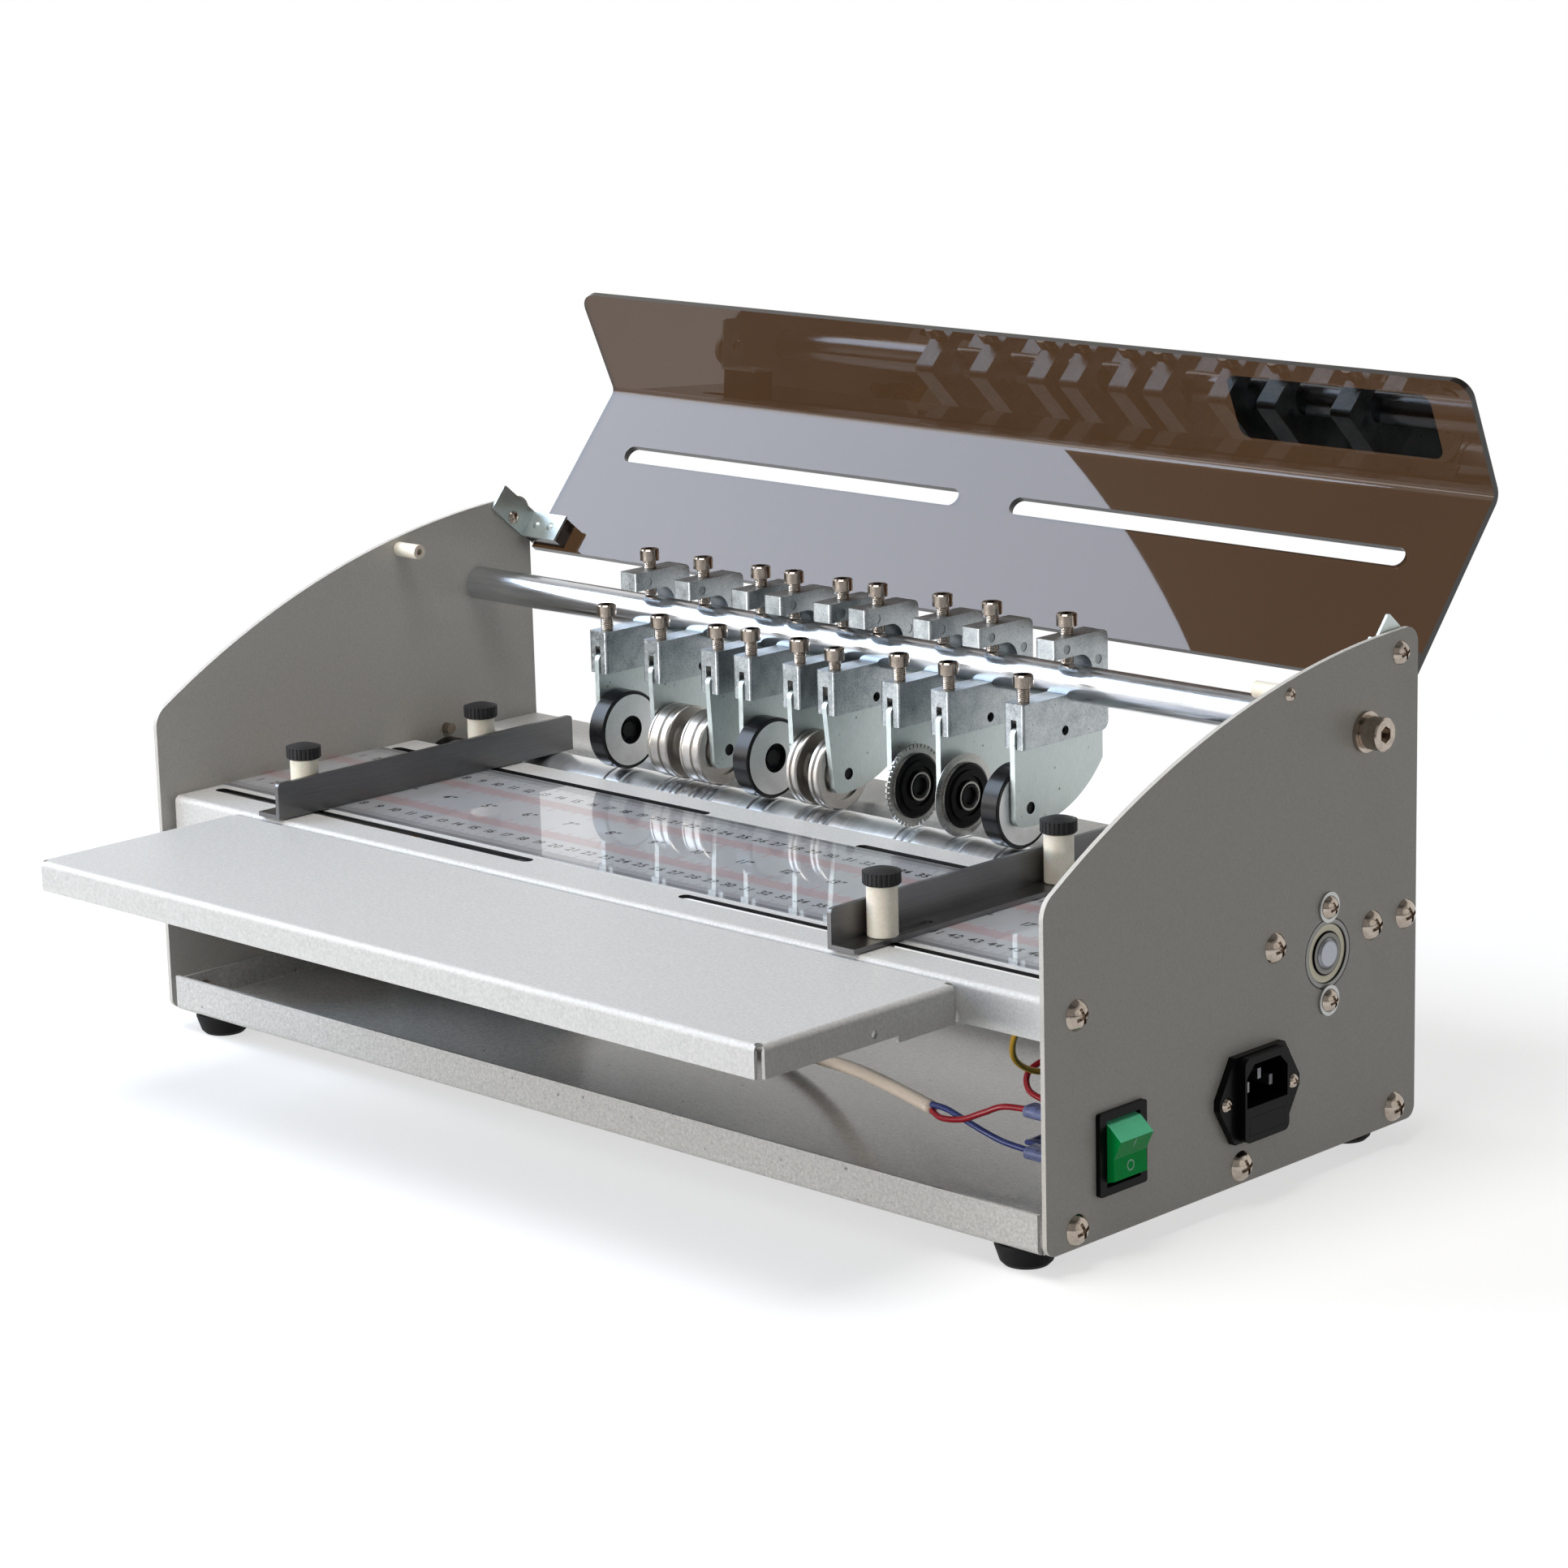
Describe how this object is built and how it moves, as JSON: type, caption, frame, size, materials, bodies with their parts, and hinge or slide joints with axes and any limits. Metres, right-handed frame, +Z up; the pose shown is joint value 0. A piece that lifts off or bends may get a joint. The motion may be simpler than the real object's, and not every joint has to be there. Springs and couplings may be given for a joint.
{
  "type": "paper creasing, perforating and slitting machine",
  "caption": "Motorised desk machine with side plates, feed table, driven roller, sliding wheel tools on a round bar, paper guides and a hinged smoked cover.",
  "frame": {"origin": "under the middle of the machine, on the surface that the rubber feet stand on", "axes": "+X along the roller towards the switch side, -Y towards the feed side, +Z up"},
  "size_m": [0.5256, 0.3762, 0.2962],
  "materials": {
    "plate_paint": "fine-textured light grey powder coat",
    "sheet_paint": "fine-textured light grey powder coat",
    "ruler": "glossy printed sheet",
    "bright_steel": "polished",
    "nickel_screws": "nickel plated",
    "bearing_steel": "turned",
    "nylon": "natural nylon",
    "foot_rubber": "matt",
    "black_plastic": "moulded",
    "cable_sheath": "woven sleeve",
    "wire_insulation": "insulated wire",
    "clear_sleeve": "clear blue sleeve",
    "motor_case": "painted",
    "zinc_plate": "zinc plated",
    "smoked_acrylic": "smoked brown, polished",
    "green_rocker": "translucent green",
    "turned_aluminium": "turned",
    "gear_brass": "hobbed",
    "guide_steel": "brushed",
    "knob_plastic": "fluted",
    "cast_zinc": "tumbled zinc casting",
    "carrier_plate": "zinc plated",
    "feed_wheel": "rubber tyre on a turned hub",
    "polished_wheel": "ground steel",
    "blade_wheel": "ground disc in a black hub"
  },
  "bodies": {
    "chassis": {"left_side_plate": "plate_paint", "right_side_plate": "plate_paint", "base_pan": "sheet_paint", "feed_table": "sheet_paint", "ruler_sheet": "ruler", "front_tray": "sheet_paint", "delivery_table": "sheet_paint", "tool_bar": "bright_steel", "plate_screws": "nickel_screws", "roller_bearings": "bearing_steel", "stop_pins": "nylon", "rubber_feet": "foot_rubber", "mains_inlet": "black_plastic", "switch_housing": "black_plastic", "motor_cable": "cable_sheath", "wiring": "wire_insulation", "crimp_sleeves": "clear_sleeve", "gear_motor": "motor_case", "motor_bracket": "zinc_plate"},
    "cover": {"safety_cover": "smoked_acrylic", "cover_brackets": "zinc_plate"},
    "rocker": {"switch_rocker": "green_rocker"},
    "roller": {"crease_roller": "turned_aluminium", "roller_gear": "gear_brass"},
    "motor_gear": {"motor_gear": "gear_brass"},
    "left_guide": {"left_guide": "guide_steel", "left_posts": "nylon"},
    "right_guide": {"right_guide": "guide_steel", "right_posts": "nylon"},
    "left_front_knob": {"left_front_knob": "knob_plastic"},
    "left_rear_knob": {"left_rear_knob": "knob_plastic"},
    "right_front_knob": {"right_front_knob": "knob_plastic"},
    "right_rear_knob": {"right_rear_knob": "knob_plastic"},
    "tool_holder_1": {"tool_holder_1": "cast_zinc"},
    "wheel_carrier_1": {"wheel_carrier_1": "carrier_plate"},
    "feed_wheel_1": {"feed_wheel_1": "feed_wheel"},
    "tool_holder_2": {"tool_holder_2": "cast_zinc"},
    "wheel_carrier_2": {"wheel_carrier_2": "carrier_plate"},
    "crease_wheel_2": {"crease_wheel_2": "polished_wheel"},
    "tool_holder_3": {"tool_holder_3": "cast_zinc"},
    "wheel_carrier_3": {"wheel_carrier_3": "carrier_plate"},
    "crease_wheel_3": {"crease_wheel_3": "polished_wheel"},
    "tool_holder_4": {"tool_holder_4": "cast_zinc"},
    "wheel_carrier_4": {"wheel_carrier_4": "carrier_plate"},
    "feed_wheel_4": {"feed_wheel_4": "feed_wheel"},
    "tool_holder_5": {"tool_holder_5": "cast_zinc"},
    "wheel_carrier_5": {"wheel_carrier_5": "carrier_plate"},
    "crease_wheel_5": {"crease_wheel_5": "polished_wheel"},
    "tool_holder_6": {"tool_holder_6": "cast_zinc"},
    "wheel_carrier_6": {"wheel_carrier_6": "carrier_plate"},
    "crease_wheel_6": {"crease_wheel_6": "polished_wheel"},
    "tool_holder_7": {"tool_holder_7": "cast_zinc"},
    "wheel_carrier_7": {"wheel_carrier_7": "carrier_plate"},
    "perforating_wheel_7": {"perforating_wheel_7": "blade_wheel"},
    "tool_holder_8": {"tool_holder_8": "cast_zinc"},
    "wheel_carrier_8": {"wheel_carrier_8": "carrier_plate"},
    "slitting_wheel_8": {"slitting_wheel_8": "blade_wheel"},
    "tool_holder_9": {"tool_holder_9": "cast_zinc"},
    "wheel_carrier_9": {"wheel_carrier_9": "carrier_plate"},
    "feed_wheel_9": {"feed_wheel_9": "feed_wheel"}
  },
  "joints": [
    {"name": "cover_hinge", "type": "hinge", "parent": "chassis", "child": "cover", "pos_m": [0, 0.11961, 0.1971], "axis": [1, 0, 0], "range_deg": [0, 145.4]},
    {"name": "rocker_press", "type": "hinge", "parent": "chassis", "child": "rocker", "pos_m": [0.25, -0.04939, 0.0412], "axis": [0, -1, 0], "range_deg": [0, 22]},
    {"name": "roller_spin", "type": "hinge", "parent": "chassis", "child": "roller", "pos_m": [0, 0.07451, 0.0875], "axis": [1, 0, 0], "continuous": true},
    {"name": "motor_gear_spin", "type": "hinge", "parent": "chassis", "child": "motor_gear", "pos_m": [-0.224, 0.05201, 0.0575], "axis": [1, 0, 0], "continuous": true},
    {"name": "left_guide_slide", "type": "slide", "parent": "chassis", "child": "left_guide", "axis": [1, 0, 0], "range_m": [-0.056, 0.034]},
    {"name": "right_guide_slide", "type": "slide", "parent": "chassis", "child": "right_guide", "axis": [1, 0, 0], "range_m": [-0.033, 0.089]},
    {"name": "left_front_knob_turn", "type": "hinge", "parent": "left_guide", "child": "left_front_knob", "pos_m": [-0.1841, -0.06429, 0.129], "axis": [0, 0, 1], "range_deg": [0, 360]},
    {"name": "left_rear_knob_turn", "type": "hinge", "parent": "left_guide", "child": "left_rear_knob", "pos_m": [-0.1841, 0.03671, 0.129], "axis": [0, 0, 1], "range_deg": [0, 360]},
    {"name": "right_front_knob_turn", "type": "hinge", "parent": "right_guide", "child": "right_front_knob", "pos_m": [0.1511, -0.06429, 0.129], "axis": [0, 0, 1], "range_deg": [0, 360]},
    {"name": "right_rear_knob_turn", "type": "hinge", "parent": "right_guide", "child": "right_rear_knob", "pos_m": [0.1511, 0.03671, 0.129], "axis": [0, 0, 1], "range_deg": [0, 360]},
    {"name": "holder_1_slide", "type": "slide", "parent": "chassis", "child": "tool_holder_1", "axis": [1, 0, 0], "range_m": [-0.033, 0.018]},
    {"name": "carrier_1_tilt", "type": "hinge", "parent": "tool_holder_1", "child": "wheel_carrier_1", "pos_m": [-0.1365, 0.08961, 0.152], "axis": [1, 0, 0], "range_deg": [-3, 0]},
    {"name": "feed_wheel_1_spin", "type": "hinge", "parent": "wheel_carrier_1", "child": "feed_wheel_1", "pos_m": [-0.1365, 0.07251, 0.1226], "axis": [1, 0, 0], "continuous": true},
    {"name": "holder_2_slide", "type": "slide", "parent": "chassis", "child": "tool_holder_2", "axis": [1, 0, 0], "range_m": [-0.0175, 0.0008]},
    {"name": "carrier_2_tilt", "type": "hinge", "parent": "tool_holder_2", "child": "wheel_carrier_2", "pos_m": [-0.1031, 0.08961, 0.152], "axis": [1, 0, 0], "range_deg": [-3, 0]},
    {"name": "crease_wheel_2_spin", "type": "hinge", "parent": "wheel_carrier_2", "child": "crease_wheel_2", "pos_m": [-0.1031, 0.0738, 0.12188], "axis": [1, 0, 0], "continuous": true},
    {"name": "holder_3_slide", "type": "slide", "parent": "chassis", "child": "tool_holder_3", "axis": [1, 0, 0], "range_m": [-0.0008, 0.0083]},
    {"name": "carrier_3_tilt", "type": "hinge", "parent": "tool_holder_3", "child": "wheel_carrier_3", "pos_m": [-0.0681, 0.08961, 0.152], "axis": [1, 0, 0], "range_deg": [-3, 0]},
    {"name": "crease_wheel_3_spin", "type": "hinge", "parent": "wheel_carrier_3", "child": "crease_wheel_3", "pos_m": [-0.0681, 0.07407, 0.12175], "axis": [1, 0, 0], "continuous": true},
    {"name": "holder_4_slide", "type": "slide", "parent": "chassis", "child": "tool_holder_4", "axis": [1, 0, 0], "range_m": [-0.0083, 0.0125]},
    {"name": "carrier_4_tilt", "type": "hinge", "parent": "tool_holder_4", "child": "wheel_carrier_4", "pos_m": [-0.0483, 0.08961, 0.152], "axis": [1, 0, 0], "range_deg": [-3, 0]},
    {"name": "feed_wheel_4_spin", "type": "hinge", "parent": "wheel_carrier_4", "child": "feed_wheel_4", "pos_m": [-0.0483, 0.07251, 0.1226], "axis": [1, 0, 0], "continuous": true},
    {"name": "holder_5_slide", "type": "slide", "parent": "chassis", "child": "tool_holder_5", "axis": [1, 0, 0], "range_m": [-0.0125, 0.001]},
    {"name": "carrier_5_tilt", "type": "hinge", "parent": "tool_holder_5", "child": "wheel_carrier_5", "pos_m": [-0.0197, 0.08961, 0.152], "axis": [1, 0, 0], "range_deg": [-3, 0]},
    {"name": "crease_wheel_5_spin", "type": "hinge", "parent": "wheel_carrier_5", "child": "crease_wheel_5", "pos_m": [-0.0197, 0.0738, 0.12188], "axis": [1, 0, 0], "continuous": true},
    {"name": "holder_6_slide", "type": "slide", "parent": "chassis", "child": "tool_holder_6", "axis": [1, 0, 0], "range_m": [-0.001, 0.025]},
    {"name": "carrier_6_tilt", "type": "hinge", "parent": "tool_holder_6", "child": "wheel_carrier_6", "pos_m": [0.0005, 0.08961, 0.152], "axis": [1, 0, 0], "range_deg": [-3, 0]},
    {"name": "crease_wheel_6_spin", "type": "hinge", "parent": "wheel_carrier_6", "child": "crease_wheel_6", "pos_m": [0.0005, 0.07594, 0.12085], "axis": [1, 0, 0], "continuous": true},
    {"name": "holder_7_slide", "type": "slide", "parent": "chassis", "child": "tool_holder_7", "axis": [1, 0, 0], "range_m": [-0.025, 0.013]},
    {"name": "carrier_7_tilt", "type": "hinge", "parent": "tool_holder_7", "child": "wheel_carrier_7", "pos_m": [0.037, 0.08961, 0.152], "axis": [1, 0, 0], "range_deg": [-3, 0]},
    {"name": "perforating_wheel_7_spin", "type": "hinge", "parent": "wheel_carrier_7", "child": "perforating_wheel_7", "pos_m": [0.037, 0.07251, 0.1226], "axis": [1, 0, 0], "continuous": true},
    {"name": "holder_8_slide", "type": "slide", "parent": "chassis", "child": "tool_holder_8", "axis": [1, 0, 0], "range_m": [-0.013, 0.0185]},
    {"name": "carrier_8_tilt", "type": "hinge", "parent": "tool_holder_8", "child": "wheel_carrier_8", "pos_m": [0.0642, 0.08961, 0.152], "axis": [1, 0, 0], "range_deg": [-3, 0]},
    {"name": "slitting_wheel_8_spin", "type": "hinge", "parent": "wheel_carrier_8", "child": "slitting_wheel_8", "pos_m": [0.0642, 0.07251, 0.1226], "axis": [1, 0, 0], "continuous": true},
    {"name": "holder_9_slide", "type": "slide", "parent": "chassis", "child": "tool_holder_9", "axis": [1, 0, 0], "range_m": [-0.0185, 0.033]},
    {"name": "carrier_9_tilt", "type": "hinge", "parent": "tool_holder_9", "child": "wheel_carrier_9", "pos_m": [0.1043, 0.08961, 0.152], "axis": [1, 0, 0], "range_deg": [-3, 0]},
    {"name": "feed_wheel_9_spin", "type": "hinge", "parent": "wheel_carrier_9", "child": "feed_wheel_9", "pos_m": [0.1043, 0.07251, 0.1226], "axis": [1, 0, 0], "continuous": true}
  ],
  "couplings": [
    {"joint": "motor_gear_spin", "follows": "roller_spin", "ratio": -0.66667},
    {"joint": "feed_wheel_1_spin", "follows": "roller_spin", "ratio": -0.98266},
    {"joint": "feed_wheel_4_spin", "follows": "roller_spin", "ratio": -0.98266},
    {"joint": "feed_wheel_9_spin", "follows": "roller_spin", "ratio": -0.98266}
  ]
}
